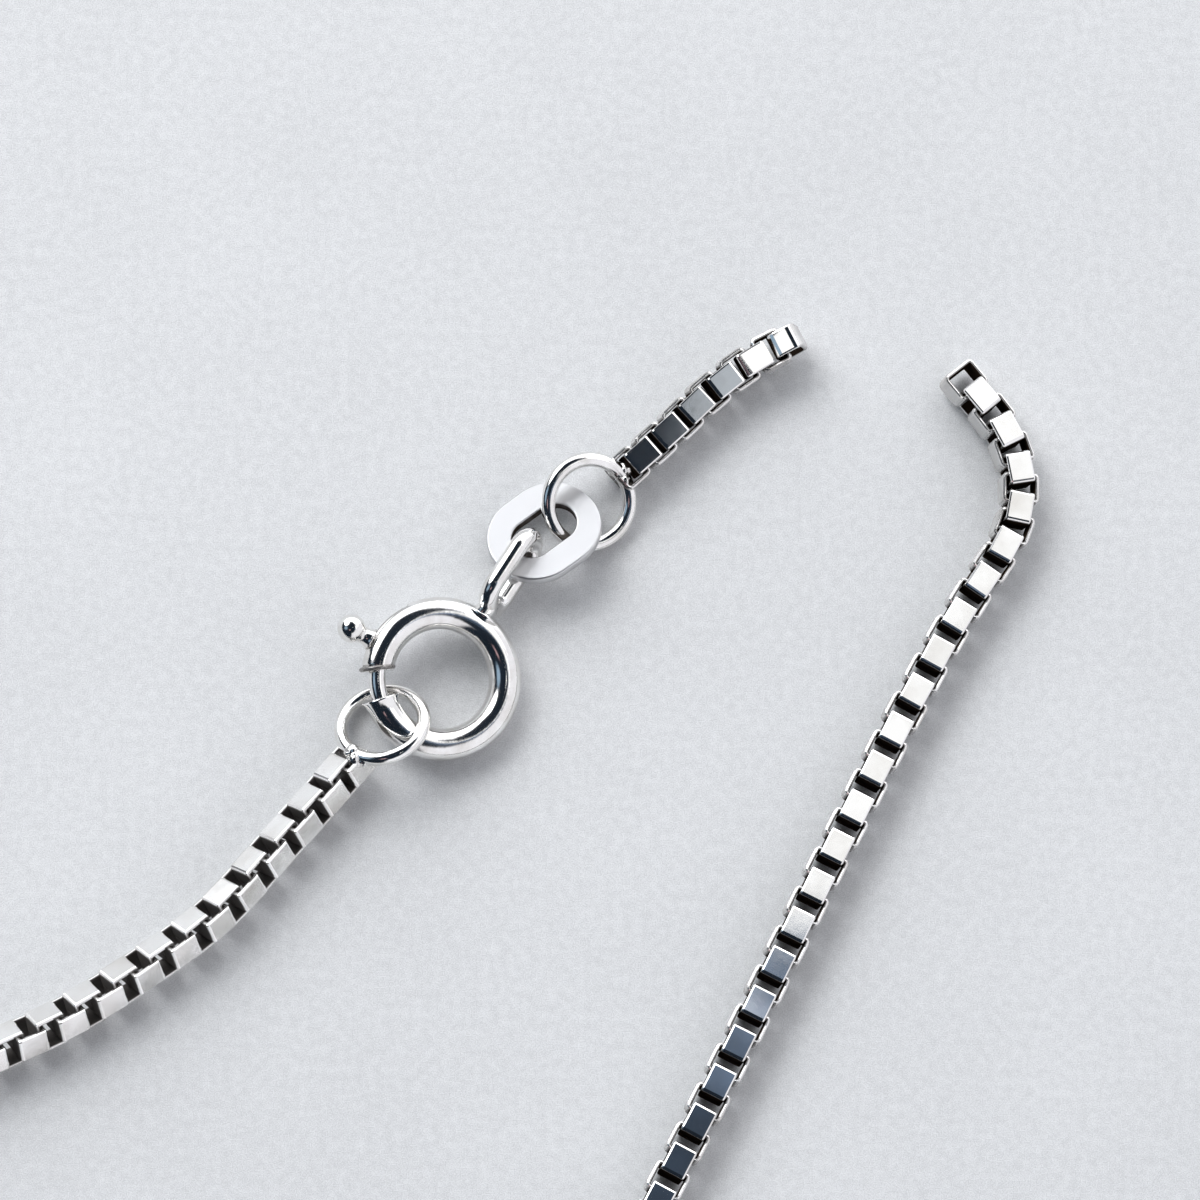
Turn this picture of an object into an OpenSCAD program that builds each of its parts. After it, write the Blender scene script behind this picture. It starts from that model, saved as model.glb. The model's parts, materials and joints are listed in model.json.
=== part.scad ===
// Fine silver box chain necklace, broken, lying on a surface with its spring ring clasp closed.
// Millimetres. Z is up from the surface it lies on, and the origin is under the middle of the whole.
// In order: free end, short chain, end ring, tag, clasp, end ring, long chain, free end.

/* [Chain links] */
// Length of one link along the chain
link_l = 1.18; // [1.16:0.01:1.3]
// Outside width of a link, the same both ways across the chain
link_w = 1.4; // [1.38:0.01:1.6]
// Width of the flat strip that a link is bent from
strip_w = 0.84; // [0.7:0.01:0.85]
// Thickness of the strip
strip_t = 0.12; // [0.09:0.01:0.13]
// Outside radius of a link's bends
bend_r = 0.18; // [0.15:0.01:0.25]
// Play between the end walls of two neighbouring links on a taut run
link_play = 0.12; // [0.11:0.01:0.14]

/* [Chain runs] */
// Length of the long chain beside the clasp that is made of separate links
near_run = 24; // [18:1:40]
// Length of the long chain at its free end that is made of separate links
far_run = 40; // [34:1:60]
// Height by which the short chain's free end stands proud of the surface
tip_rise = 0.45; // [0:0.05:0.45]
// Length of the short chain that rises to that height
tip_rise_l = 3.6; // [3.6:0.1:5]

/* [Spring ring clasp] */
// Outside diameter of the clasp's ring
clasp_d = 6; // [5:0.1:8]
// Outside diameter of the tube that the ring is rolled from
clasp_tube_d = 1.18; // [1.1:0.01:1.3]
// Wall of that tube
clasp_wall = 0.19; // [0.15:0.01:0.2]
// Opening between the two ends of the tube, as an angle round the ring
clasp_gap_angle = 27; // [24:1:30]
// Outside diameter of the lip that the bolt comes out of
lip_d = 1.34; // [1.3:0.01:1.5]
// Thickness of that lip
lip_t = 0.12; // [0.1:0.01:0.2]
// Outside diameter of the flared mouth that the bolt goes into
mouth_d = 1.44; // [1.35:0.01:1.5]
// Length of the flare behind the mouth
flare_l = 0.45; // [0.3:0.05:0.6]
// Angle by which the clasp lies tilted, propped by its loop and its end ring
clasp_tilt = 10.5; // [10:0.5:11]

/* [Bolt] */
// Diameter of the bolt's wire
bolt_d = 0.62; // [0.5:0.01:0.68]
// Diameter of the thumb knob's ball
knob_d = 1.04; // [0.8:0.02:1.2]
// Diameter of the stem that carries the ball
knob_stem_d = 0.38; // [0.3:0.02:0.42]
// Clear height of the stem between the tube and the ball
knob_stem_h = 0.3; // [0.2:0.05:0.5]
// Gap all round the stem in the slot that it slides along
slot_clear = 0.06; // [0.04:0.01:0.08]
// Angle by which the bolt draws back
bolt_travel = 32; // [31:1:34]

/* [Clasp loop] */
// Outside length of the loop soldered to the clasp
loop_l = 3.45; // [3.2:0.05:3.8]
// Outside height of that loop
loop_h = 2.2; // [2:0.05:2.3]
// Diameter of the loop's wire
loop_wire_d = 0.56; // [0.5:0.01:0.6]
// Lean of the loop away from upright
loop_lean = 16; // [10:1:20]

/* [Tag] */
// Outside length of the oval tag
tag_l = 4.38; // [4:0.02:5]
// Outside width of the tag
tag_w = 3.65; // [3.4:0.05:4]
// Thickness of the tag
tag_t = 0.38; // [0.3:0.01:0.42]
// Length of the slot through the tag
tag_slot_l = 2.6; // [2.4:0.05:2.8]
// Width of that slot
tag_slot_w = 1.55; // [1.5:0.05:1.7]
// Angle by which the tag lies tilted across its length
tag_tilt = 21; // [19:0.5:22]
// Angle by which the tag's end over the clasp's loop lies higher than its other end
tag_lift = 2.5; // [2:0.5:4]

/* [End rings] */
// Outside diameter of the two end rings
ring_d = 3.56; // [3.4:0.02:3.7]
// Diameter of their wire
ring_wire_d = 0.48; // [0.4:0.01:0.5]
// Angle by which the ring in the tag lies tilted
tag_ring_tilt = 21; // [19:0.5:23]
// Angle by which the ring on the clasp lies tilted
clasp_ring_tilt = 34.5; // [34:0.5:36]
// Diameter of the solder between an end ring and its chain
solder_d = 0.6; // [0.5:0.02:0.64]

/* [Hidden] */
$fn = 32;

// Routes of the two chains from their end rings to their free ends, seen from above.
LONG_ROUTE = [
    [-9.2, -6.35], [-10, -7.3], [-12, -9.6], [-14.1, -12], [-16.8, -14.1], [-19.5, -15.9], [-22.5, -17.4],
    [-27, -19.4], [-34, -22.7], [-44, -28], [-58, -36], [-74, -45.5], [-91.5, -56], [-108, -68],
    [-121.5, -83], [-129, -101], [-128.5, -121], [-119.5, -138], [-104, -149], [-85, -150.5], [-68, -142.5],
    [-55.5, -128.5], [-45, -111.5], [-35.5, -94], [-26, -76], [-17, -58.5], [-8.6, -42.5], [-3.3, -32.4],
    [0.5, -25.3], [3.9, -18.7], [9, -8.4], [11.9, -2.7], [13.3, -0.2], [14.2, 1.2], [14.9, 2.3],
    [15.37, 3.4], [15.5, 4.65], [15.25, 5.9], [14.65, 7.05], [13.85, 8], [13.1, 8.9]];
SHORT_ROUTE = [[1, 4.9], [2.55, 6.35], [3.6, 7.4], [4.6, 8.3], [5.7, 9.1], [6.9, 9.75], [7.6, 10.1]];

// Roll of the chain about its own run, in degrees, by the share of the run from the clasp.
LONG_ROLL = [[0, 45], [0.05, 45], [0.5, 20], [0.9, 0], [0.97, 0], [0.985, 8], [1, 22]];
SHORT_ROLL = [[0, 4], [0.7, 6], [0.9, -2], [1, -10]];

// Slack as a share of a link's length, by the share of the run from the clasp.
LONG_SLACK = [[0, 0.08], [0.008, 0.03], [0.012, 0]];
SHORT_SLACK = [[0, 0.12], [0.3, 0.1], [0.5, 0.05], [1, 0.03]];

// Places of the clasp, the tag and the two end rings, seen from above.
CLASP_AT = [-5.89, -3.14];
CLASP_RING_AT = [-8.05, -4.79];
TAG_AT = [-2.08, 2.42];
TAG_RING_AT = [-0.43, 3.61];

// Directions seen from above, in degrees from +X.
clasp_raised_to = 143;
clasp_ring_raised_to = 303;
gap_middle = 186.2;
loop_to = 57.6;
knob_to = 153.5;
tag_to = 37;
short_chain_to = 43;
long_chain_to = 232;

bolt_entry_angle = 4;
bolt_tail_angle = 22;

route_steps = 6;
pi = 3.14159265;

// Sizes that follow from those above.
link_pitch = link_l - 2 * strip_t - link_play;
clasp_r = (clasp_d - clasp_tube_d) / 2;
bore_d = clasp_tube_d - 2 * clasp_wall;
lip_to = gap_middle - clasp_gap_angle / 2;
mouth_to = gap_middle + clasp_gap_angle / 2;
bolt_tip_to = mouth_to + bolt_entry_angle;
bolt_tail_to = knob_to - bolt_tail_angle;
knob_r = clasp_d / 2 + knob_stem_h + knob_d / 2;
slot_w = knob_stem_d + 2 * slot_clear;
slot_half_angle = slot_w / 2 / clasp_r * 180 / pi;
ring_r = (ring_d - ring_wire_d) / 2;
loop_r = (loop_h - loop_wire_d) / 2;
loop_run = loop_l - loop_h;
solder_at_r = ring_r + 0.05;
loop_neck_from = clasp_d / 2 - 0.3;
loop_neck_l = 0.55;
loop_neck_r = [0.46, 0.3];
loop_sunk = 0.1;
cut_over = 0.01;

// Heights of the middles of the tilted pieces. Each lies just clear of the surface or of its neighbour.
clasp_z = clasp_tube_d / 2 + clasp_r * sin(clasp_tilt) + 0.015;
clasp_ring_z = ring_wire_d / 2 + ring_r * sin(clasp_ring_tilt) + 0.03;
tag_ring_z = ring_wire_d / 2 + ring_r * sin(tag_ring_tilt) + 0.09;
tag_z = tag_ring_z;

// Route functions: a smooth curve through the route's points, then places by distance along it.
function tangent(p, k) =
    let (a = p[max(k - 1, 0)], b = p[k], c = p[min(k + 1, len(p) - 1)], da = norm(b - a), dc = norm(c - b))
    da == 0 ? (c - b) / dc : dc == 0 ? (b - a) / da : ((b - a) * dc / da + (c - b) * da / dc) / (da + dc);
function between(p, k, u) =
    let (d = norm(p[k + 1] - p[k]))
    (2 * pow(u, 3) - 3 * pow(u, 2) + 1) * p[k] + (pow(u, 3) - 2 * pow(u, 2) + u) * d * tangent(p, k)
    + (3 * pow(u, 2) - 2 * pow(u, 3)) * p[k + 1] + (pow(u, 3) - pow(u, 2)) * d * tangent(p, k + 1);
function curve(p) = [for (k = [0:len(p) - 2], i = [0:route_steps - 1]) between(p, k, i / route_steps),
                     p[len(p) - 1]];
function lengths(q) =
    let (last = len(q) - 1)
    [for (i = 0, s = 0; i <= last; i = i + 1, s = s + norm(q[min(i, last)] - q[i - 1])) s];
function run_of(route) =
    let (q = curve(route), s = lengths(q))
    [[for (i = [0:len(q) - 1]) [s[i], q[i].x]], [for (i = [0:len(q) - 1]) [s[i], q[i].y]], s[len(s) - 1]];
function at(run, s) = [lookup(s, run[0]), lookup(s, run[1])];
function heading(run, s) =
    let (d = at(run, s + link_l / 2) - at(run, s - link_l / 2))
    atan2(d.y, d.x);
function turn(run, s, step) =
    let (a = heading(run, s + step) - heading(run, s))
    abs(a > 180 ? a - 360 : a < -180 ? a + 360 : a) * pi / 180;

// Links crowd together where the run bends, so that their end walls stay clear of each other.
function step_at(run, s, slack) =
    link_pitch - slack * link_l - strip_w / 2 * turn(run, s, link_pitch);
function tip_height(s) = tip_rise * pow(max(s - short_l + tip_rise_l, 0) / tip_rise_l, 2);
function short_rise(s) = (tip_height(s + link_l / 2) + tip_height(s - link_l / 2)) / 2;
function short_pitch(s) = asin((tip_height(s + link_l / 2) - tip_height(s - link_l / 2)) / link_l);
function short_step(s) =
    let (lift = (short_pitch(s + link_pitch) - short_pitch(s)) * pi / 180)
    (step_at(short_run, s, lookup(s / short_l, SHORT_SLACK)) - strip_w / 2 * lift) * cos(short_pitch(s));
function rest_height(roll) =
    max(strip_w / 2 * abs(sin(roll)) + link_w / 2 * abs(cos(roll)),
        link_w / 2 * abs(sin(roll)) + strip_w / 2 * abs(cos(roll)));

long_run = run_of(LONG_ROUTE);
short_run = run_of(SHORT_ROUTE);
long_l = long_run[2];
short_l = short_run[2];
near_stations = [for (s = 0; s <= near_run; s = s + step_at(long_run, s, lookup(s / long_l, LONG_SLACK))) s];
far_stations = [for (s = long_l - link_l / 2; s >= long_l - far_run;
                     s = s - step_at(long_run, s - link_pitch, lookup(s / long_l, LONG_SLACK))) s];
short_stations = [for (s = 0; s <= short_l - link_l / 2; s = s + short_step(s)) s];

back_from = near_stations[len(near_stations) - 1] + link_l / 2 + link_play;
back_to = far_stations[len(far_stations) - 1] - link_l / 2 - link_play;
back_rings = 78;
back_sides = 8;

// The whole is centred on the origin by the box of its runs.
run_x = [for (p = long_run[0]) p[1]];
run_y = [for (p = long_run[1]) p[1]];
middle = [(min(run_x) + max(run_x)) / 2, (min(run_y) + short_run[1][len(short_run[1]) - 1][1]) / 2];

module placed(xy, z) {
    translate([xy.x - middle.x, xy.y - middle.y, z]) children();
}

module raised(direction, tilt) {
    rotate([0, 0, direction]) rotate([0, -tilt, 0]) rotate([0, 0, -direction]) children();
}

module rounded_box(l, w, r) {
    square([l - 2 * r, w], center = true);
    square([l, w - 2 * r], center = true);
    for (x = [-1, 1], y = [-1, 1])
        translate([x * (l / 2 - r), y * (w / 2 - r)]) circle(r);
}

module stadium(l, w) {
    square([l - w, w], center = true);
    for (x = [-1, 1])
        translate([x * (l - w) / 2, 0]) circle(w / 2, $fn = 96);
}

// One link: a strip bent into a box, open to both sides of the chain.
module link() {
    rotate([90, 0, 0]) linear_extrude(strip_w, center = true)
        difference() {
            rounded_box(link_l, link_w, bend_r);
            rounded_box(link_l - 2 * strip_t, link_w - 2 * strip_t, max(bend_r - strip_t, 0.02));
        }
}

// A link on its run. Every other link is turned a quarter about the run.
module link_on(run, s, roll, quarter, rise = 0, pitch = 0) {
    placed(at(run, s), rest_height(roll) + rise)
        rotate([0, -pitch, heading(run, s)]) rotate([roll + 90 * quarter, 0, 0]) link();
}

// Links of the short chain, counted from the one soldered to the ring in the tag.
module short_link(i) {
    s = short_stations[i];
    link_on(short_run, s, lookup(s / short_l, SHORT_ROLL), (i + 1) % 2, short_rise(s), short_pitch(s));
}

module long_link(s, quarter) {
    link_on(long_run, s, lookup(s / long_l, LONG_ROLL), quarter);
}

module short_chain() {
    color("silver")
        for (i = [1:len(short_stations) - 1]) short_link(i);
}

module long_chain() {
    color("silver") {
        for (i = [1:len(near_stations) - 1]) long_link(near_stations[i], (i + 1) % 2);
        for (i = [0:len(far_stations) - 1]) long_link(far_stations[i], (i + 1) % 2);
    }
}

// The rest of the long chain, as one tube of the chain's width.
module long_chain_back() {
    radius = link_w / 2 / cos(180 / back_sides);
    points = [for (k = [0:back_rings - 1])
        let (s = back_from + (back_to - back_from) * k / (back_rings - 1), p = at(long_run, s) - middle,
             h = heading(long_run, s))
        for (i = [0:back_sides - 1])
            let (a = (i + 0.5) * 360 / back_sides)
            [p.x - radius * cos(a) * sin(h), p.y + radius * cos(a) * cos(h), link_w / 2 + radius * sin(a)]];
    sides = [for (k = [0:back_rings - 2], i = [0:back_sides - 1])
        let (a = k * back_sides + i, b = k * back_sides + (i + 1) % back_sides)
        each [[a, b, b + back_sides], [a, b + back_sides, a + back_sides]]];
    start = [for (i = [back_sides - 1:-1:0]) i];
    end = [for (i = [0:back_sides - 1]) (back_rings - 1) * back_sides + i];
    color("silver") polyhedron(points, concat(sides, [start, end]));
}

module torus(r, wire_d) {
    rotate_extrude($fn = 96) translate([r, 0]) circle(wire_d / 2);
}

// An end ring with the first link of its chain and the solder that joins them.
module end_ring(at_xy, z, direction, tilt, solder_to) {
    placed(at_xy, z) raised(direction, tilt) torus(ring_r, ring_wire_d);
    solder_z = max(z + solder_at_r * tan(tilt) * cos(solder_to - direction), solder_d / 2);
    out = [cos(solder_to), sin(solder_to)];
    across = [-sin(solder_to), cos(solder_to)];
    for (side = [-1, 1])
        placed(at_xy + solder_at_r * out + side * solder_d / 3 * across, solder_z) sphere(d = solder_d);
}

module tag_end_ring() {
    color("silver") {
        end_ring(TAG_RING_AT, tag_ring_z, tag_to + 90, tag_ring_tilt, short_chain_to);
        short_link(0);
    }
}

module clasp_end_ring() {
    color("silver") {
        end_ring(CLASP_RING_AT, clasp_ring_z, clasp_ring_raised_to, clasp_ring_tilt, long_chain_to);
        long_link(near_stations[0], 1);
    }
}

module tag_link() {
    color("whitesmoke")
        placed(TAG_AT, tag_z) rotate([0, 0, tag_to]) rotate([0, tag_lift, 0]) rotate([-tag_tilt, 0, 0])
            linear_extrude(tag_t, center = true)
                difference() {
                    stadium(tag_l, tag_w);
                    stadium(tag_slot_l, tag_slot_w);
                }
}

module clasp_pose() {
    placed(CLASP_AT, clasp_z) raised(clasp_raised_to, clasp_tilt) children();
}

// A stretch of the clasp's ring with the given section, from one angle to another.
module ring_arc(from, to) {
    rotate([0, 0, from]) rotate_extrude(angle = to - from, $fn = 96) translate([clasp_r, 0]) children();
}

// A place on the ring's middle line, with +Z along the ring towards smaller angles.
module on_ring(angle) {
    rotate([0, 0, angle]) translate([clasp_r, 0, 0]) rotate([90, 0, 0]) children();
}

// The loop soldered to the clasp, standing on edge, with its solder.
module clasp_loop() {
    wire_r = loop_wire_d / 2;
    rotate([0, 0, loop_to]) translate([clasp_d / 2 - loop_sunk + loop_l / 2, 0, 0])
        rotate([90 - loop_lean, 0, 0])
            for (side = [-1, 1]) {
                translate([side * loop_run / 2, 0, 0]) rotate([0, 0, -side * 90])
                    rotate_extrude(angle = 180, $fn = 64) translate([loop_r, 0]) circle(wire_r);
                translate([-loop_run / 2, side * loop_r, 0]) rotate([0, 90, 0])
                    cylinder(loop_run, r = wire_r);
            }
    rotate([0, 0, loop_to]) translate([loop_neck_from, 0, 0]) rotate([0, 90, 0])
        cylinder(loop_neck_l, r1 = loop_neck_r[0], r2 = loop_neck_r[1]);
}

module clasp_body() {
    color("silver") clasp_pose() difference() {
        union() {
            ring_arc(mouth_to, lip_to + 360) circle(d = clasp_tube_d);
            on_ring(lip_to) cylinder(lip_t, d = lip_d);
            on_ring(mouth_to) mirror([0, 0, 1]) cylinder(flare_l, d1 = mouth_d, d2 = clasp_tube_d);
            clasp_loop();
        }
        ring_arc(mouth_to - 5, lip_to + 365) circle(d = bore_d);
        on_ring(mouth_to) mirror([0, 0, 1])
            translate([0, 0, -cut_over]) cylinder(flare_l, d1 = mouth_d - 2 * clasp_wall, d2 = bore_d);
        ring_arc(knob_to - bolt_travel - slot_half_angle, knob_to + slot_half_angle)
            translate([0, -slot_w / 2]) square([clasp_tube_d, slot_w]);
    }
}

module clasp_bolt() {
    color("gray") clasp_pose() {
        ring_arc(bolt_tail_to, bolt_tip_to) circle(d = bolt_d);
        rotate([0, 0, knob_to]) translate([clasp_r, 0, 0]) rotate([0, 90, 0])
            cylinder(knob_r - clasp_r, d = knob_stem_d);
        rotate([0, 0, knob_to]) translate([knob_r, 0, 0]) sphere(d = knob_d, $fn = 48);
    }
}

clasp_body();
clasp_bolt();
clasp_end_ring();
tag_link();
tag_end_ring();
short_chain();
long_chain();
long_chain_back();
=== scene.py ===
import json
import math
import random
from bisect import bisect_right

import bmesh
import bpy
from mathutils import Matrix, Vector, noise


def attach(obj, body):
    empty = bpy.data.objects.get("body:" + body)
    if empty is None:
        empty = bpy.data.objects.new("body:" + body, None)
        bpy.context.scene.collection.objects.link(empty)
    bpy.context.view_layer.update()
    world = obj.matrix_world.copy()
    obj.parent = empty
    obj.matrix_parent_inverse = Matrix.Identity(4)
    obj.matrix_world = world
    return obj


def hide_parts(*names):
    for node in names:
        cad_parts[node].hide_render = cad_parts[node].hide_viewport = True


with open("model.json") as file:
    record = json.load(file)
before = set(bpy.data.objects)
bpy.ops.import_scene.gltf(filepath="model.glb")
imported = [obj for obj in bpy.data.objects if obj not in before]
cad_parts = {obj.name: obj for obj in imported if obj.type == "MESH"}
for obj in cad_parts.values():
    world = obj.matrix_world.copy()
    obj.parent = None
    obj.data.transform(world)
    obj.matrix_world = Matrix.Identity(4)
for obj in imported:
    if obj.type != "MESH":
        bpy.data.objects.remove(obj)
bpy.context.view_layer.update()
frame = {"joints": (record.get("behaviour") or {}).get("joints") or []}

# Without a seed, the loop's neck would come out a little different on each run.
noise.seed_set(1)

# Sizes are in millimetres and angles in degrees, as in the part's source, until a piece is finished.
# A name that ends in _TO is a direction, seen from above.
MM = 0.001
Y, Z = Vector((0, 1, 0)), Vector((0, 0, 1))

# Links of the box chain. The strip is as wide and thick as a real one's, and the source's a little less.
LINK_L = 1.18
LINK_W = 1.4
STRIP_W = 0.94
STRIP_T = 0.18
PLATE_BEND_R = 0.12
SIDE_BEND_R = 0.22
TIP_BEND_R = 0.34
INNER_BEND_R = 0.04
RIM = 0.065
SIDE_RIM = 0.085
# How much darker and duller the side links' plates are made.
SIDE_PLATE_DARKENING = 0.3
SEAM = 0.04
LINK_PITCH = 0.82
SOURCE_STRIP_W = 0.84
NEAR_PITCH = 7
LINK_LIFT = 0.012
SHAKE = 0.8
HIDDEN_SHAKE = 0.6
HIDDEN_SHARE = 0.94

# Runs of the chain.
NEAR_RUN = 24
FAR_RUN = 40
TIP_RISE = 0.45
TIP_RISE_L = 3.6
TIP_BACK = 0.09
TIP_TURN = -8
TIP_TARNISH = 0.35
ROUTE_STEPS = 6
LONG_ROUTE = [
    (-9.2, -6.35), (-10, -7.3), (-12, -9.6), (-14.1, -12), (-16.8, -14.1), (-19.5, -15.9), (-22.5, -17.4),
    (-27, -19.4), (-34, -22.7), (-44, -28), (-58, -36), (-74, -45.5), (-91.5, -56), (-108, -68),
    (-121.5, -83), (-129, -101), (-128.5, -121), (-119.5, -138), (-104, -149), (-85, -150.5), (-68, -142.5),
    (-55.5, -128.5), (-45, -111.5), (-35.5, -94), (-26, -76), (-17, -58.5), (-8.6, -42.5), (-3.3, -32.4),
    (0.5, -25.3), (3.9, -18.7), (9, -8.4), (11.9, -2.7), (13.3, -0.2), (14.2, 1.2), (14.9, 2.3),
    (15.37, 3.4), (15.5, 4.65), (15.25, 5.9), (14.65, 7.05), (13.85, 8), (13.1, 8.9)]
SHORT_ROUTE = [(1, 4.9), (2.55, 6.35), (3.6, 7.4), (4.6, 8.3), (5.7, 9.1), (6.9, 9.75), (7.6, 10.1)]
# By share of a run's length: the links' roll, and how much closer they hang, in link lengths.
LONG_ROLL = [(0, 43.5), (0.05, 43.5), (0.5, 20), (0.9, 0), (0.97, 0), (0.985, 4), (1, 10)]
HIDDEN_ROLL = [(0, 45), (0.06, 45), (0.25, 0), (1, 0)]
SHORT_ROLL = [(0, 4), (0.7, 6), (0.9, -2), (1, -10)]
LONG_SLACK = [(0, 0.08), (0.008, 0.03), (0.012, 0)]
SHORT_SLACK = [(0, 0.12), (0.3, 0.1), (0.5, 0.05), (1, 0.03)]

# Spring ring clasp.
CLASP_AT = (-5.89, -3.14)
CLASP_Z = 1.0442
CLASP_RAISED_TO = 143
CLASP_TILT = 10.5
CLASP_D = 6
TUBE_D = 1.18
TUBE_WALL = 0.19
RING_R = (CLASP_D - TUBE_D) / 2
SLOT_HALF = 0.3
SLOT_SPARE = 6
LIP_TO = 172.7
MOUTH_TO = 199.7
LIP_D = 1.34
LIP_T = 0.16
LIP_TURN = 15
LIP_OUT = 0.1
LIP_HUB_L = 0.15
MOUTH_D = 1.44
FLARE_L = 0.45
FLARE_CURVE = 1.6
BOLT_D = 0.62
BOLT_FROM = 131.5
BOLT_END = 203.7
KNOB_TO = 153.5
KNOB_D = 1.04
KNOB_R = 3.82
KNOB_STEM_D = 0.34
KNOB_FOOT = [(0.42, 0), (0.38, 0.06), (0.33, 0.16), (0.31, 0.28)]
BOLT_TRAVEL = 32

# The loop soldered to the clasp.
LOOP_TO = 57.6
LOOP_L = 3.7
LOOP_H = 2.25
LOOP_WIRE_D = 0.7
LOOP_LEAN = 32
LOOP_SUNK = 0.1
LOOP_NECK = [(0, 0), (0.72, 0), (0.6, 0.12), (0.47, 0.28), (0.39, 0.46), (0.34, 0.7), (0, 0.8)]
LOOP_NECK_SUNK = 0.32
LOOP_LUMPS = 4
LOOP_LUMP_R = 0.3
LOOP_LUMP_STEP = 0.3
LOOP_LUMPS_BACK = 0.62

# The tag and the two end rings.
TAG_AT = (-2.08, 2.42)
TAG_Z = 0.8819
TAG_L = 4.38
TAG_W = 3.65
TAG_T = 0.38
TAG_SLOT_L = 2.6
TAG_SLOT_W = 1.55
TAG_EDGE = 0.07
TAG_TO = 37
TAG_TILT = 21
TAG_LIFT = 2.5
TAG_RING_R = 1.58
TAG_RING_WIRE_D = 0.54
CLASP_RING_R = 1.55
CLASP_RING_WIRE_D = 0.5
TAG_RING_AT = (-0.43, 3.61)
TAG_RING_Z = 0.8819
TAG_RING_TILT = 21
TAG_RING_RAISED_TO = TAG_TO + 90
CLASP_RING_AT = (-8.05, -4.91)
CLASP_RING_Z = 1.1422
CLASP_RING_TILT = 32
CLASP_RING_RAISED_TO = 303
SHORT_CHAIN_TO = 43
LONG_CHAIN_TO = 232
SOLDER_D = 0.6
SOLDER_AT_R = 1.6
SOLDER_LOWEST = 0.43
# Each lump's side of the chain, how far out it lies from there, and its share of the full size.
SOLDER_LUMPS = [(-1, -0.04, 0.95), (1, -0.04, 0.95), (0, 0.16, 1.08)]

# The middle of the whole, from the place that the frame gives the bolt's joint.
joint_at = frame["joints"][0]["pos_m"]
MIDDLE = (CLASP_AT[0] - joint_at[0] / MM, CLASP_AT[1] - joint_at[1] / MM)

# The camera, and the width that it sees.
PHOTO_AT = (0, 0, 0.7)
CAMERA_AWAY = 600
CAMERA_LEAN = 13
CAMERA_TO = 238
SEEN_WIDTH = 43.956

# The cards that the plates mirror.
CARD_HEIGHT = 40
GREY_TINT = (0.9, 0.97, 1.05)
BLUE_TINT = (0.55, 0.75, 1.1)
PALE_TINT = (0.95, 0.97, 1.05)


# Places and turns.
def turned(axis, degrees):
    return Matrix.Rotation(math.radians(degrees), 4, axis)


def moved(x, y, z=0):
    return Matrix.Translation((x, y, z))


def placed(at, z):
    return moved(at[0] - MIDDLE[0], at[1] - MIDDLE[1], z)


def raised(direction, tilt):
    """Tilts a piece up on the side that lies in a direction."""
    return turned("Z", direction) @ turned("Y", -tilt) @ turned("Z", -direction)


CLASP_POSE = placed(CLASP_AT, CLASP_Z) @ raised(CLASP_RAISED_TO, CLASP_TILT)
TAG_POSE = placed(TAG_AT, TAG_Z) @ turned("Z", TAG_TO) @ turned("Y", TAG_LIFT) @ turned("X", -TAG_TILT)


# Routes: a smooth curve through a route's points, then places by distance along it.
def lookup(value, table):
    """A table's value at one place, in a straight line between its rows."""
    keys = [row[0] for row in table]
    if value <= keys[0]:
        return table[0][1]
    if value >= keys[-1]:
        return table[-1][1]
    k = bisect_right(keys, value) - 1
    share = (value - keys[k]) / (keys[k + 1] - keys[k])
    return table[k][1] * (1 - share) + table[k + 1][1] * share


def tangent(points, k):
    """The curve's direction at one of its points."""
    a, b, c = points[max(k - 1, 0)], points[k], points[min(k + 1, len(points) - 1)]
    da, dc = (b - a).length, (c - b).length
    if da == 0:
        return (c - b) / dc
    if dc == 0:
        return (b - a) / da
    return ((b - a) * dc / da + (c - b) * da / dc) / (da + dc)


def between(points, k, u):
    """The place at share u of the way from point k to the next."""
    a, b = points[k], points[k + 1]
    d = (b - a).length
    start = (2 * u ** 3 - 3 * u ** 2 + 1) * a + (u ** 3 - 2 * u ** 2 + u) * d * tangent(points, k)
    return start + (3 * u ** 2 - 2 * u ** 3) * b + (u ** 3 - u ** 2) * d * tangent(points, k + 1)


class Run:
    """A chain's run over the surface, seen from above."""

    def __init__(self, route, rolls):
        points = [Vector(p) for p in route]
        line = []
        for k in range(len(points) - 1):
            line += [between(points, k, i / ROUTE_STEPS) for i in range(ROUTE_STEPS)]
        line.append(points[-1])
        self.marks = [0]
        for a, b in zip(line, line[1:]):
            self.marks.append(self.marks[-1] + (b - a).length)
        self.xs = list(zip(self.marks, [p.x for p in line]))
        self.ys = list(zip(self.marks, [p.y for p in line]))
        self.length = self.marks[-1]
        self.rolls = rolls

    def at(self, s):
        k = min(max(bisect_right(self.marks, s) - 1, 0), len(self.marks) - 2)
        share = min(max((s - self.marks[k]) / (self.marks[k + 1] - self.marks[k]), 0), 1)
        x = self.xs[k][1] * (1 - share) + self.xs[k + 1][1] * share
        y = self.ys[k][1] * (1 - share) + self.ys[k + 1][1] * share
        return Vector((x, y))

    def heading(self, s):
        d = self.at(s + LINK_L / 2) - self.at(s - LINK_L / 2)
        return math.degrees(math.atan2(d.y, d.x))

    def turn(self, s):
        a = self.heading(s + LINK_PITCH) - self.heading(s)
        a = a - 360 if a > 180 else a + 360 if a < -180 else a
        return math.radians(abs(a))

    def step(self, s, slack):
        """The way from one link to the next, which is shorter in a bend."""
        return LINK_PITCH - slack * LINK_L - SOURCE_STRIP_W / 2 * self.turn(s)

    def roll(self, s):
        return lookup(s / self.length, self.rolls)


def tip_height(run, s):
    """How high the short chain's free end rises off the paper."""
    return TIP_RISE * (max(s - run.length + TIP_RISE_L, 0) / TIP_RISE_L) ** 2


def tip_rise(run, s):
    return (tip_height(run, s + LINK_L / 2) + tip_height(run, s - LINK_L / 2)) / 2


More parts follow.
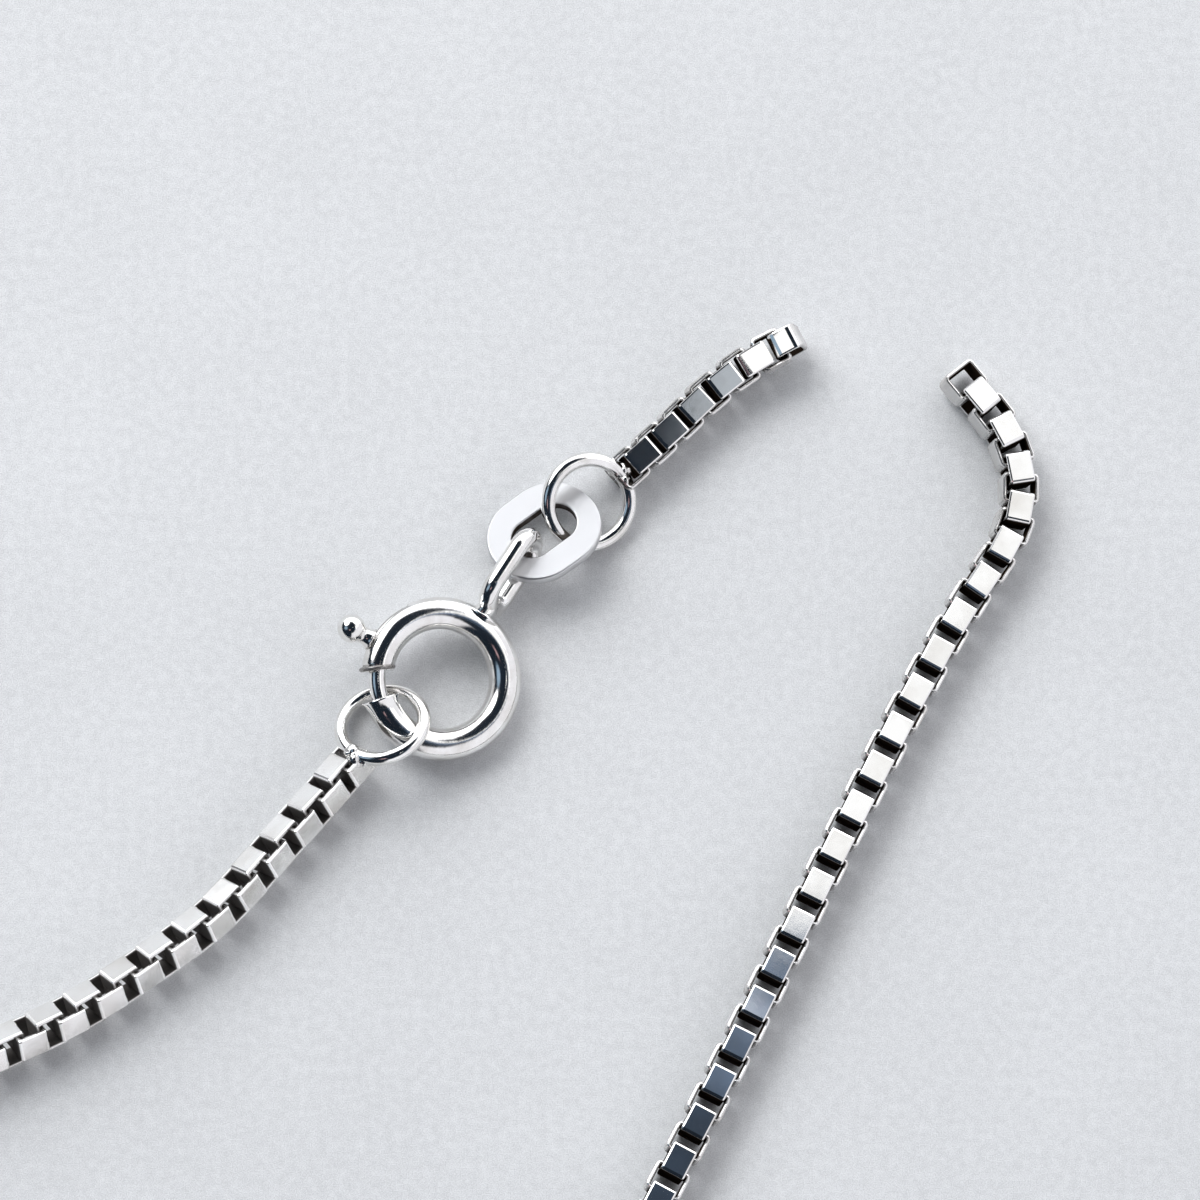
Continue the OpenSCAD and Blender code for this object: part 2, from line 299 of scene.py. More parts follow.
def tip_pitch(run, s):
    climb = tip_height(run, s + LINK_L / 2) - tip_height(run, s - LINK_L / 2)
    return math.degrees(math.asin(climb / LINK_L))


def near_stations(run):
    s, found = 0, []
    while s <= NEAR_RUN:
        found.append(s)
        s += run.step(s, lookup(s / run.length, LONG_SLACK))
    return found


def far_stations(run):
    s, found = run.length - LINK_L / 2, []
    while s >= run.length - FAR_RUN:
        found.append(s)
        s -= run.step(s - LINK_PITCH, lookup(s / run.length, LONG_SLACK))
    return found


def short_stations(run):
    s, found = 0, []
    while s <= run.length - LINK_L / 2:
        found.append(s)
        lift = math.radians(tip_pitch(run, s + LINK_PITCH) - tip_pitch(run, s))
        step = run.step(s, lookup(s / run.length, SHORT_SLACK)) - SOURCE_STRIP_W / 2 * lift
        s += step * math.cos(math.radians(tip_pitch(run, s)))
    return found


def hidden_stations(first, last):
    """Stations between two links. Their number is odd, so that upright and lying links still take turns."""
    count = 2 * round((last - first) / LINK_PITCH / 2) - 1
    return [first + (last - first) * (k + 1) / (count + 1) for k in range(count)]


def rest_height(roll):
    """The height of the chain's middle when it lies on the paper, rolled."""
    a = math.radians(roll)
    upright = STRIP_W / 2 * abs(math.sin(a)) + LINK_W / 2 * abs(math.cos(a))
    lying = LINK_W / 2 * abs(math.sin(a)) + STRIP_W / 2 * abs(math.cos(a))
    return max(upright, lying)


# Shader nodes.
class Value:
    """A number that varies over a surface. Sums of it add Math nodes."""

    def __init__(self, finish, socket):
        self.finish = finish
        self.socket = socket

    def math(self, operation, *terms):
        inputs = dict(enumerate(terms))
        return self.finish.node("ShaderNodeMath", {"operation": operation}, inputs)

    def __add__(self, other):
        return self.math("ADD", self, other)

    def __radd__(self, other):
        return self.math("ADD", other, self)

    def __sub__(self, other):
        return self.math("SUBTRACT", self, other)

    def __rsub__(self, other):
        return self.math("SUBTRACT", other, self)

    def __mul__(self, other):
        return self.math("MULTIPLY", self, other)

    def __rmul__(self, other):
        return self.math("MULTIPLY", other, self)

    def __truediv__(self, other):
        return self.math("DIVIDE", self, other)

    def __pow__(self, other):
        return self.math("POWER", self, other)


class Finish:
    """A procedural material, or the room's light, and its nodes."""

    def __init__(self, owner):
        owner.use_nodes = True
        self.owner = owner
        self.tree = owner.node_tree
        self.tree.nodes.clear()

    def node(self, kind, settings=None, inputs=None, output=0):
        made = self.tree.nodes.new(kind)
        for key, value in (settings or {}).items():
            if key == "stops":
                self.set_stops(made.color_ramp, value)
            else:
                setattr(made, key, value)
        for key, value in (inputs or {}).items():
            if isinstance(value, Value):
                self.tree.links.new(value.socket, made.inputs[key])
            else:
                made.inputs[key].default_value = value
        return Value(self, made.outputs[output]) if made.outputs else None

    def set_stops(self, ramp, stops):
        while len(ramp.elements) < len(stops):
            ramp.elements.new(0.5)
        for element, (position, color) in zip(ramp.elements, stops):
            element.position = position
            element.color = color

    def place(self, scale=(1, 1, 1), turn=(0, 0, 0)):
        spot = self.node("ShaderNodeTexCoord", output="Object")
        return self.node("ShaderNodeMapping", None, {"Vector": spot, "Scale": scale, "Rotation": turn})

    def noise(self, place, size, detail=3, roughness=0.5):
        """Noise from 0 to 1 whose lumps are about size millimetres."""
        inputs = {"Vector": place, "Scale": 1 / (size * MM), "Detail": detail, "Roughness": roughness}
        return self.node("ShaderNodeTexNoise", None, inputs)

    def ramp(self, factor, low, high, first=0.0, last=1.0):
        """Goes from first to last while factor goes from low to high."""
        inputs = {"Value": factor, "From Min": low, "From Max": high, "To Min": first, "To Max": last}
        return self.node("ShaderNodeMapRange", {"clamp": True}, inputs)

    def mark(self, name):
        return self.node("ShaderNodeAttribute", {"attribute_name": name}, None, "Fac")

    def blend(self, factor, first, second):
        inputs = {0: factor, 6: first, 7: second}
        return self.node("ShaderNodeMix", {"data_type": "RGBA"}, inputs, 2)

    def bump(self, height, depth, strength=1.0):
        """A bump whose full height is depth millimetres."""
        inputs = {"Height": height, "Distance": depth * MM, "Strength": strength}
        return self.node("ShaderNodeBump", None, inputs)

    def metal(self, color, roughness, normal, metallic=1.0):
        inputs = {"Base Color": color, "Metallic": metallic, "Roughness": roughness, "Normal": normal,
                  "Specular IOR Level": 0.0}
        shader = self.node("ShaderNodeBsdfPrincipled", None, inputs)
        self.node("ShaderNodeOutputMaterial", None, {"Surface": shader})
        return self.owner


# Finishes.
SILVER = (0.95, 0.945, 0.93, 1)
SILVER_DULL = (0.78, 0.76, 0.73, 1)
SATIN = (0.62, 0.62, 0.625, 1)
# The near-black that marked places blend to: tarnish, and painted shade inside the links, on their end
# walls and on the tag's slot walls.
TARNISH_AND_SHADE = (0.03, 0.02, 0.014, 1)
PAPER_LIGHT = (0.79, 0.8, 0.806, 1)
PAPER_DARK = (0.6, 0.607, 0.612, 1)


def silver_finish():
    """Polished silver with faint waves and fine scratches, turning a dull near-black where a piece is
    marked: tarnish, and painted shade inside the end rings' links.
    """
    f = Finish(bpy.data.materials.new("polished_silver"))
    place = f.place()
    cloud = f.noise(place, 0.9)
    fine = f.noise(place, 0.07, 4, 0.6)
    streak = f.noise(f.place((1, 1, 0.12), (0.4, 0.3, 0.9)), 0.06, 2)
    deep = f.mark("deep")
    tone = f.blend(f.ramp(cloud, 0.35, 0.7), SILVER, SILVER_DULL)
    # Marked places blend to near-black: tarnish, and painted shade inside the links.
    color = f.blend(deep * f.ramp(fine, 0.3, 0.6, 0.55, 1.0), tone, TARNISH_AND_SHADE)
    roughness = 0.07 + 0.06 * cloud + 0.05 * streak + 0.3 * deep
    height = 0.5 * f.noise(place, 0.5, 2) + 0.06 * streak + 0.1 * fine * deep
    return f.metal(color, roughness, f.bump(height, 0.012))


def chain_finish():
    """The chain's silver: flat faces with a faint wave, turning a dull near-black where the links are
    marked: tarnish and painted shade inside them, painted shade on their end walls, and a darker, duller
    finish on some plates and at the free ends.
    """
    f = Finish(bpy.data.materials.new("chain_silver"))
    place = f.place()
    cloud = f.noise(place, 1.6)
    fine = f.noise(place, 0.05, 4, 0.65)
    deep = f.mark("deep")
    tone = f.blend(f.ramp(cloud, 0.4, 0.7), SILVER, SILVER_DULL)
    # Marked places blend to near-black: tarnish and painted shade inside the links, and painted shade on
    # their end walls.
    color = f.blend(deep ** (1.6 - fine), tone, TARNISH_AND_SHADE)
    roughness = 0.05 + 0.06 * cloud + 0.04 * fine + 0.3 * deep
    height = 0.25 * f.noise(place, 0.8, 2) + 0.04 * fine
    return f.metal(color, roughness, f.bump(height, 0.01), 1 - deep)


def tag_finish():
    """The tag's silver: satin, with a very fine grain, and painted shade on the walls of the slot."""
    f = Finish(bpy.data.materials.new("satin_silver"))
    place = f.place()
    fine = f.noise(place, 0.04, 4, 0.7)
    cloud = f.noise(place, 0.8)
    deep = f.mark("deep")
    color = f.blend(deep * f.ramp(cloud, 0.3, 0.6, 0.85, 1.0), SATIN, TARNISH_AND_SHADE)
    roughness = 0.3 + 0.1 * fine + 0.05 * cloud
    return f.metal(color, roughness, f.bump(fine, 0.004), 1 - 0.9 * deep)


def bolt_finish():
    """The bolt's polished silver, with faint clouds and waves."""
    f = Finish(bpy.data.materials.new("bolt_silver"))
    place = f.place()
    fine = f.noise(place, 0.05, 3)
    cloud = f.noise(place, 0.5)
    color = f.blend(f.ramp(cloud, 0.3, 0.7), SILVER, SILVER_DULL)
    return f.metal(color, 0.08 + 0.08 * cloud, f.bump(0.4 * cloud + 0.1 * fine, 0.012))


def paper_finish():
    """The pale paper that the chain lies on."""
    f = Finish(bpy.data.materials.new("paper"))
    place = f.place()
    fibre = f.noise(place, 0.35, 6, 0.6)
    grain = f.noise(place, 0.09, 3, 0.7)
    cloud = f.noise(place, 9, 2)
    speck = f.noise(place, 0.045, 1, 0.5)
    tone = 0.3 * fibre + 0.1 * cloud + 0.6 * speck
    color = f.blend(f.ramp(tone, 0.38, 0.62), PAPER_LIGHT, PAPER_DARK)
    normal = f.bump(0.6 * fibre + 0.4 * grain, 0.03, 0.6)
    inputs = {"Base Color": color, "Roughness": 0.85, "Specular IOR Level": 0.2, "Normal": normal}
    shader = f.node("ShaderNodeBsdfPrincipled", None, inputs)
    f.node("ShaderNodeOutputMaterial", None, {"Surface": shader})
    return f.owner


# Mesh making.
def shape():
    """An empty bmesh with a mark for where the silver is painted darker: tarnish, and painted shade inside
    links and in hollows.
    """
    bm = bmesh.new()
    bm.verts.layers.float.new("deep")
    return bm


# Sets how much darker a place is painted: tarnish, and painted shade in hollows.
def mark_tarnish_and_shade(bm, verts, amount=1.0):
    layer = bm.verts.layers.float["deep"]
    for v in verts:
        v[layer] = amount


def soften(bm):
    """Makes every face shade smoothly."""
    for f in bm.faces:
        f.smooth = True


def round_edges(bm, edges, r, steps):
    bmesh.ops.bevel(bm, geom=edges, offset=r, offset_type="OFFSET", segments=steps, profile=0.5,
                    affect="EDGES", material=-1)


def join(bm, part, matrix):
    """Adds a copy of part to bm, placed by matrix."""
    mesh = bpy.data.meshes.new("part")
    part.to_mesh(mesh)
    mesh.transform(matrix)
    bm.from_mesh(mesh)
    bpy.data.meshes.remove(mesh)


def piece(name, bm, body, nodes, finish, smooth=True):
    """A finished piece: in metres, on its body, in the place of its CAD nodes. smooth is None where the
    faces are smooth or flat already."""
    bmesh.ops.scale(bm, vec=(MM, MM, MM), verts=bm.verts)
    mesh = bpy.data.meshes.new(name)
    bm.to_mesh(mesh)
    bm.free()
    if smooth is not None:
        for polygon in mesh.polygons:
            polygon.use_smooth = smooth
    obj = bpy.data.objects.new(name, mesh)
    bpy.context.scene.collection.objects.link(obj)
    mesh.materials.append(finish)
    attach(obj, body)
    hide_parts(*nodes)
    return obj


def lathe(profile, steps):
    """A round solid about Z. Its (radius, height) points start and end on the axis, or come full circle."""
    bm = shape()
    verts = [bm.verts.new((r, 0, h)) for r, h in profile]
    edges = [bm.edges.new(pair) for pair in zip(verts, verts[1:])]
    full_turn(bm, verts + edges, steps)
    return bm


def full_turn(bm, geometry, steps):
    """Spins an outline once round Z into a closed shape."""
    bmesh.ops.spin(bm, geom=geometry, cent=(0, 0, 0), axis=Z, angle=math.tau, steps=steps, use_merge=True)
    bmesh.ops.remove_doubles(bm, verts=bm.verts, dist=1e-4)
    bmesh.ops.recalc_face_normals(bm, faces=bm.faces)


def closed(profile):
    """A profile that ends where it starts."""
    return profile + profile[:1]


def section(bm, r, wire_d, sides, start=0):
    """The wire's circle at one angle of a ring, in an empty shape: its vertices and edges."""
    turn = turned("Z", start) @ moved(r, 0) @ turned("X", 90)
    made = bmesh.ops.create_circle(bm, segments=sides, radius=wire_d / 2, matrix=turn)
    return made["verts"] + list(bm.edges)


def torus(r, wire_d, steps=128, sides=32):
    bm = shape()
    full_turn(bm, section(bm, r, wire_d, sides), steps)
    soften(bm)
    return bm


def arc(r, wire_d, start, end, steps, sides=32):
    """An open tube round Z from one angle to another, with its two rims."""
    bm = shape()
    geometry = section(bm, r, wire_d, sides, start)
    angle = math.radians(end - start)
    bmesh.ops.spin(bm, geom=geometry, cent=(0, 0, 0), axis=Z, angle=angle, steps=steps)
    bmesh.ops.recalc_face_normals(bm, faces=bm.faces)
    return bm


def on_ring(angle):
    """A place on the clasp ring's middle line, with +Z along the ring towards smaller angles."""
    return turned("Z", angle) @ moved(RING_R, 0) @ turned("X", 90)


# Links.
def is_open_side(face):
    return abs(face.normal.y) > 0.9


def sleeve(length, width, corner_r, corner_steps):
    """An open box sleeve round Y, with rounded corners."""
    bm = shape()
    bmesh.ops.create_cube(bm, size=1)
    bmesh.ops.scale(bm, vec=(length, STRIP_W, width), verts=bm.verts)
    bmesh.ops.delete(bm, geom=[f for f in bm.faces if is_open_side(f)], context="FACES_ONLY")
    corners = [e for e in bm.edges if len(e.link_faces) == 2]
    round_edges(bm, corners, corner_r, corner_steps)
    return bm


def cut_seam(bm, seam, reach):
    """Parts the end wall at -X, so that the strip's two ends face each other across the seam."""
    for height in (-seam / 2, seam / 2):
        end = [f for f in bm.faces if all(v.co.x < -LINK_L / 2 + reach for v in f.verts)]
        parts = end + [e for f in end for e in f.edges] + [v for f in end for v in f.verts]
        parts = list(dict.fromkeys(parts))
        bmesh.ops.bisect_plane(bm, geom=parts, plane_co=(0, 0, height), plane_no=(0, 0, 1), dist=1e-5)
    wall = [f for f in bm.faces if f.calc_center_median().x < -LINK_L / 2 + STRIP_T + 0.01]
    gap = [f for f in wall if abs(f.calc_center_median().z) < seam / 2 - 1e-4]
    bmesh.ops.delete(bm, geom=gap, context="FACES")
    for side in (-1, 1):
        ends = [e for e in bm.edges if e.is_boundary and all(v.co.z * side > 0 for v in e.verts)]
        bmesh.ops.holes_fill(bm, edges=ends, sides=0)


def link_template(corner_steps, bend_r, rim, seam, walls=1.0, plate_darkening=0.0, bright_rims=True):
    """One link: a strip bent into a box, open to both sides of the chain, whose ends meet in a seam at -X.
    rim is the width of its rounded edges, and seam that of the gap between the strip's ends. Its inside is
    painted near-black, as tarnish and painted shade. walls is how dark its two end walls are painted, as
    painted shade, and the next argument how much darker and duller its plates are made. Its rims are kept
    out of this darkening all round, or else only at the plates."""
    bm = sleeve(LINK_L, LINK_W, bend_r, corner_steps)
    mark_tarnish_and_shade(bm, bm.verts, plate_darkening)
    inner_r = max(bend_r - STRIP_T, INNER_BEND_R)
    inner = sleeve(LINK_L - 2 * STRIP_T, LINK_W - 2 * STRIP_T, inner_r, corner_steps)
    # The link's inside is painted near-black: tarnish and painted shade.
    mark_tarnish_and_shade(inner, inner.verts)
    bmesh.ops.reverse_faces(inner, faces=inner.faces)
    join(bm, inner, Matrix.Identity(4))
    for side in (-1, 1):
        rims = [e for e in bm.edges if e.is_boundary and all(v.co.y * side > 0 for v in e.verts)]
        bmesh.ops.bridge_loops(bm, edges=rims)
    if seam:
        cut_seam(bm, seam, max(bend_r, STRIP_T) + 0.01)
    bmesh.ops.recalc_face_normals(bm, faces=bm.faces)
    if rim:
        sharp = [e for e in bm.edges if len(e.link_faces) == 2 and e.calc_face_angle() > 1.2]
        edges = [e for e in sharp if is_open_side(e.link_faces[0]) != is_open_side(e.link_faces[1])]
        round_edges(bm, edges, rim, 2)
    wall_top = LINK_W / 2 - bend_r + 0.01
    # The end walls below the plates are painted dark, as painted shade.
    if walls:
        mark_tarnish_and_shade(bm, [v for v in bm.verts if abs(v.co.z) < wall_top], walls)
    # The rims are kept out of this painted shade.
    if rim:
        rims = [v for v in bm.verts if abs(v.co.y) > STRIP_W / 2 - 0.001]
        mark_tarnish_and_shade(bm, [v for v in rims if bright_rims or abs(v.co.z) > wall_top - 0.02], 0)
    return bm


def link_pose(run, s, quarter, shake, rise=0, pitch=0, seam_ahead=False):
    """A link's place on its run. Its seam is behind it, or ahead where seam_ahead is true."""
    at, roll = run.at(s), run.roll(s)
    turn = turned("Z", run.heading(s) + shake[0]) @ turned("Y", -pitch + shake[1])
    turn = turn @ turned("X", roll + 90 * quarter + shake[2]) @ turned("Y", 180 if seam_ahead else 0)
    return placed(at, rest_height(roll) + LINK_LIFT + rise) @ turn


def shakes(seed, amount):
    """Small turns that set one link apart from the next."""
    dice = random.Random(seed)
    while True:
        yield tuple(dice.uniform(-amount, amount) for _ in range(3))


long_run = Run(LONG_ROUTE, LONG_ROLL)
hidden_run = Run(LONG_ROUTE, HIDDEN_ROLL)
short_run = Run(SHORT_ROUTE, SHORT_ROLL)
near = near_stations(long_run)
far = far_stations(long_run)
short = short_stations(short_run)
hidden = hidden_stations(near[-1], far[-1])

plate_link = link_template(3, PLATE_BEND_R, RIM, SEAM, bright_rims=False)
side_link = link_template(3, SIDE_BEND_R, SIDE_RIM, SEAM, plate_darkening=SIDE_PLATE_DARKENING)
# Its end walls are painted dark, as painted shade.
clasp_side_link = link_template(3, PLATE_BEND_R, RIM, SEAM, 0.9, bright_rims=False)
tip_link = link_template(4, TIP_BEND_R, RIM, 0, 0)
mark_tarnish_and_shade(tip_link, [v for v in tip_link.verts if v.co.x > LINK_L / 2 - TIP_BEND_R * 0.6], TIP_TARNISH)
open_tip_link = link_template(3, SIDE_BEND_R, SIDE_RIM, 0, 0, SIDE_PLATE_DARKENING)
plain_link = link_template(2, PLATE_BEND_R, 0, 0)


def link_for(quarter):
    return side_link if quarter else plate_link


def near_link(bm, i, shake):
    """A link near the clasp, with its far end a little raised."""
    rise = LINK_L / 2 * math.sin(math.radians(NEAR_PITCH))
    matrix = link_pose(long_run, near[i], (i + 1) % 2, shake, rise, NEAR_PITCH, seam_ahead=True)
    join(bm, clasp_side_link, matrix)


def short_link(bm, i, shake):
    s, quarter = short[i], (i + 1) % 2
    matrix = link_pose(short_run, s, quarter, shake, tip_rise(short_run, s), tip_pitch(short_run, s))
    if i == len(short) - 1:
        join(bm, tip_link, matrix @ moved(-TIP_BACK, 0) @ turned("Y", TIP_TURN))
    else:
        join(bm, link_for(quarter), matrix)


def short_chain(finish):
    bm = shape()
    shake = shakes(3, SHAKE)
    for i in range(1, len(short)):
        short_link(bm, i, next(shake))
    return piece("short_chain_links", bm, "necklace", ["short_chain"], finish, smooth=False)


def long_chain(finish):
    bm = shape()
    shake = shakes(5, SHAKE)
    for i in range(1, len(near)):
        near_link(bm, i, next(shake))
    for i in range(len(far)):
        quarter = (i + 1) % 2
        matrix = link_pose(long_run, far[i], quarter, next(shake))
        join(bm, link_for(quarter) if i else open_tip_link, matrix)
    return piece("long_chain_links", bm, "necklace", ["long_chain"], finish, smooth=False)


def long_chain_back(finish):
    bm = shape()
    shake = shakes(7, HIDDEN_SHAKE)
    slim = Matrix.Diagonal((1, HIDDEN_SHARE, HIDDEN_SHARE, 1))
    for k, s in enumerate(hidden):
        join(bm, plain_link, link_pose(hidden_run, s, k % 2, next(shake)) @ slim)
    return piece("long_chain_back_links", bm, "necklace", ["long_chain_back"], finish,
                 smooth=False)


# Solder, and the end rings.
def lump(r, seed, size, coarse, fine):
    """A lump of solder. coarse and fine are how much it swells and how close together its swellings are."""
    bm = shape()
    bmesh.ops.create_icosphere(bm, subdivisions=4, radius=r)
    for v in bm.verts:
        swell = coarse[0] * noise.noise(v.co * coarse[1] + Vector(seed))
        v.co *= size + swell + fine[0] * noise.noise(v.co * fine[1])
    return bm


def solder(bm, at, z, direction, tilt, towards, seed):
    """Three lumps of solder between an end ring and the first link of its chain."""
    slope = math.tan(math.radians(tilt)) * math.cos(math.radians(towards - direction))
    solder_z = max(z + SOLDER_AT_R * slope, SOLDER_LOWEST)
    out = Vector((math.cos(math.radians(towards)), math.sin(math.radians(towards))))
    across = Vector((-out.y, out.x))
    for side, further, share in SOLDER_LUMPS:
        blob = lump(SOLDER_D / 2 * share, (seed, side, 0), 0.96, (0.3, 3), (0.1, 11))
        mark_tarnish_and_shade(blob, blob.verts, 0.2)
        soften(blob)
        spot = Vector(at) + (SOLDER_AT_R + further) * out + side * SOLDER_D / 2.2 * across
        join(bm, blob, placed(spot, solder_z))
        blob.free()


def tag_end_ring(finish):
    bm = shape()
    turn = raised(TAG_RING_RAISED_TO, TAG_RING_TILT)
    join(bm, torus(TAG_RING_R, TAG_RING_WIRE_D), placed(TAG_RING_AT, TAG_RING_Z) @ turn)
    solder(bm, TAG_RING_AT, TAG_RING_Z, TAG_RING_RAISED_TO, TAG_RING_TILT, SHORT_CHAIN_TO, 1)
    short_link(bm, 0, (0, 0, 0))
    return piece("tag_end_ring_wire", bm, "necklace", ["tag_end_ring"], finish, smooth=None)


def clasp_end_ring(finish):
    bm = shape()
    turn = raised(CLASP_RING_RAISED_TO, CLASP_RING_TILT)
    join(bm, torus(CLASP_RING_R, CLASP_RING_WIRE_D), placed(CLASP_RING_AT, CLASP_RING_Z) @ turn)
    solder(bm, CLASP_RING_AT, CLASP_RING_Z, CLASP_RING_RAISED_TO, CLASP_RING_TILT, LONG_CHAIN_TO, 2)
    near_link(bm, 0, (0, 0, 0))
    return piece("clasp_end_ring_wire", bm, "necklace", ["clasp_end_ring"], finish, smooth=None)


# The tag.
def stadium(bm, length, width):
    """Adds the outline of an oval with straight sides."""
    made = bmesh.ops.create_circle(bm, segments=96, radius=width / 2)["verts"]
    for side in (-1, 1):
        half = [v for v in made if v.co.x * side > 1e-5]
        bmesh.ops.translate(bm, vec=(side * (length - width) / 2, 0, 0), verts=half)


def tag(finish):
    bm = shape()
    stadium(bm, TAG_L, TAG_W)
    stadium(bm, TAG_SLOT_L, TAG_SLOT_W)
    bmesh.ops.bridge_loops(bm, edges=list(bm.edges))
    bmesh.ops.recalc_face_normals(bm, faces=bm.faces)
    bmesh.ops.translate(bm, vec=(0, 0, TAG_T / 2), verts=bm.verts)
    bmesh.ops.solidify(bm, geom=list(bm.faces), thickness=TAG_T)
    centre = sum((v.co.z for v in bm.verts)) / len(bm.verts)
    bmesh.ops.translate(bm, vec=(0, 0, -centre), verts=bm.verts)
    rims = [e for e in bm.edges if len(e.link_faces) == 2 and e.calc_face_angle() > 1]
    round_edges(bm, rims, TAG_EDGE, 3)
    slot_r = TAG_SLOT_W / 2 + 0.02
    straight = (TAG_SLOT_L - TAG_SLOT_W) / 2
    wall = [v for v in bm.verts if math.hypot(max(abs(v.co.x) - straight, 0), v.co.y) < slot_r]
    # The slot's walls are painted near-black, as painted shade.
    mark_tarnish_and_shade(bm, wall)
    for f in bm.faces:
        f.smooth = abs(f.normal.z) < 0.999
    bmesh.ops.transform(bm, matrix=TAG_POSE, verts=bm.verts)
    return piece("tag_plate", bm, "necklace", ["tag_link"], finish, smooth=None)


# The clasp.
def clasp_tube(bm):
    """The hollow ring, with the slot that the knob's stem slides along and the flare of the mouth."""
    tube = arc(RING_R, TUBE_D, MOUTH_TO, LIP_TO + 360, 222, 48)
    slot = []
    for f in tube.faces:
        c = f.calc_center_median()
        angle = math.degrees(math.atan2(c.y, c.x)) % 360
        outside = math.hypot(c.x, c.y) > RING_R and abs(c.z) < SLOT_HALF
        if outside and KNOB_TO - BOLT_TRAVEL - SLOT_SPARE < angle < KNOB_TO + SLOT_SPARE:
            slot.append(f)
    bmesh.ops.delete(tube, geom=slot, context="FACES")
    flare_angle = math.degrees(FLARE_L / RING_R)
    for v in tube.verts:
        angle = math.degrees(math.atan2(v.co.y, v.co.x)) % 360
        share = 1 - (angle - MOUTH_TO) / flare_angle
        if 0 < share < 1.01:
            middle = Vector((v.co.x, v.co.y, 0)).normalized() * RING_R
            v.co = middle + (v.co - middle) * (1 + (MOUTH_D / TUBE_D - 1) * share ** FLARE_CURVE)
    bmesh.ops.solidify(tube, geom=list(tube.faces), thickness=TUBE_WALL)
    join(bm, tube, Matrix.Identity(4))
    tube.free()


def lip():
    """The disc at the ring's end, with a short hub that goes into the tube."""
    r, bore, t = LIP_D / 2, TUBE_D / 2 - TUBE_WALL, LIP_T
    edge_r = t * 0.3
    hub_r, hub_end = TUBE_D / 2 - 0.03, t + LIP_HUB_L
    rim = [(bore, 0), (r - edge_r, 0), (r, edge_r), (r, t - edge_r), (r - edge_r, t)]
    hub = [(hub_r, t), (hub_r - 0.08, hub_end), (bore + 0.06, hub_end)]
    disc = lathe(closed(rim + hub), 64)
    mark_tarnish_and_shade(disc, [v for v in disc.verts if math.hypot(v.co.x, v.co.y) > hub_r + 0.01], 0.8)
    return disc


def loop(bm):
    """The oval loop, which stands on edge and leans, with its neck and the solder on its lower strand."""
    reach, half = (LOOP_H - LOOP_WIRE_D) / 2, (LOOP_L - LOOP_H) / 2
    wire = torus(reach, LOOP_WIRE_D, 96, 24)
    geometry = list(wire.verts) + list(wire.edges) + list(wire.faces)
    bmesh.ops.bisect_plane(wire, geom=geometry, plane_co=(0, 0, 0), plane_no=(1, 0, 0), dist=1e-5)
    for side in (-1, 1):
        end = [v for v in wire.verts if v.co.x * side > 1e-4]
        bmesh.ops.translate(wire, vec=(side * half, 0, 0), verts=end)
    matrix = turned("Z", LOOP_TO) @ moved(CLASP_D / 2 - LOOP_SUNK + LOOP_L / 2, 0)
    matrix = matrix @ turned("X", 90 - LOOP_LEAN)
    join(bm, wire, matrix)
    neck = lathe(LOOP_NECK, 32)
    for v in neck.verts:
        v.co += 0.04 * noise.noise_vector(v.co * 3)
    join(bm, neck, turned("Z", LOOP_TO) @ moved(CLASP_D / 2 - LOOP_NECK_SUNK, 0) @ turned("Y", 90))
    for k in range(LOOP_LUMPS):
        blob = lump(LOOP_LUMP_R - 0.01 * k, (k, 7, 0), 0.97, (0.12, 5), (0.08, 13))
        join(bm, blob, matrix @ moved(-half - LOOP_LUMPS_BACK + LOOP_LUMP_STEP * k, -reach + 0.05))
        blob.free()


def clasp_body(finish):
    bm = shape()
    clasp_tube(bm)
    join(bm, lip(), on_ring(LIP_TO) @ moved(0, 0, -LIP_OUT) @ turned("Y", LIP_TURN))
    loop(bm)
    bmesh.ops.transform(bm, matrix=CLASP_POSE, verts=bm.verts)
    return piece("clasp_body_shell", bm, "necklace", ["clasp_body"], finish)


def knob_profile():
    """The stem, its foot on the ring and the ball, from the bolt outwards."""
    half, stem, outside = KNOB_D / 2, KNOB_STEM_D / 2, CLASP_D / 2
    profile = [(0, RING_R), (stem, RING_R), (stem, outside)]
    profile += [(r, outside + height) for r, height in KNOB_FOOT]
    for degrees in range(37, 170, 11):
        a = math.radians(degrees)
        profile.append((half * math.sin(a), KNOB_R - half * math.cos(a)))
    return profile + [(0, KNOB_R + half)]


def clasp_bolt(finish):
    bm = shape()
    pin = arc(RING_R, BOLT_D, BOLT_FROM, BOLT_END, 48)
    rims = [e for e in pin.edges if len(e.link_faces) == 1]
    bmesh.ops.holes_fill(pin, edges=rims, sides=0)
    join(bm, pin, Matrix.Identity(4))
    join(bm, lathe(knob_profile(), 48), turned("Z", KNOB_TO) @ turned("Y", 90))
    bmesh.ops.transform(bm, matrix=CLASP_POSE, verts=bm.verts)
    return piece("clasp_bolt_pin", bm, "bolt", ["clasp_bolt"], finish)


# The stage, the camera and the lights.
FLOOR_HALF_M = 1.5


def floor(finish):
    bm = bmesh.new()
    bmesh.ops.create_grid(bm, x_segments=1, y_segments=1, size=FLOOR_HALF_M)
    mesh = bpy.data.meshes.new("surface")
    bm.to_mesh(mesh)
    bm.free()
    obj = bpy.data.objects.new("surface", mesh)
    bpy.context.scene.collection.objects.link(obj)
    mesh.materials.append(finish)


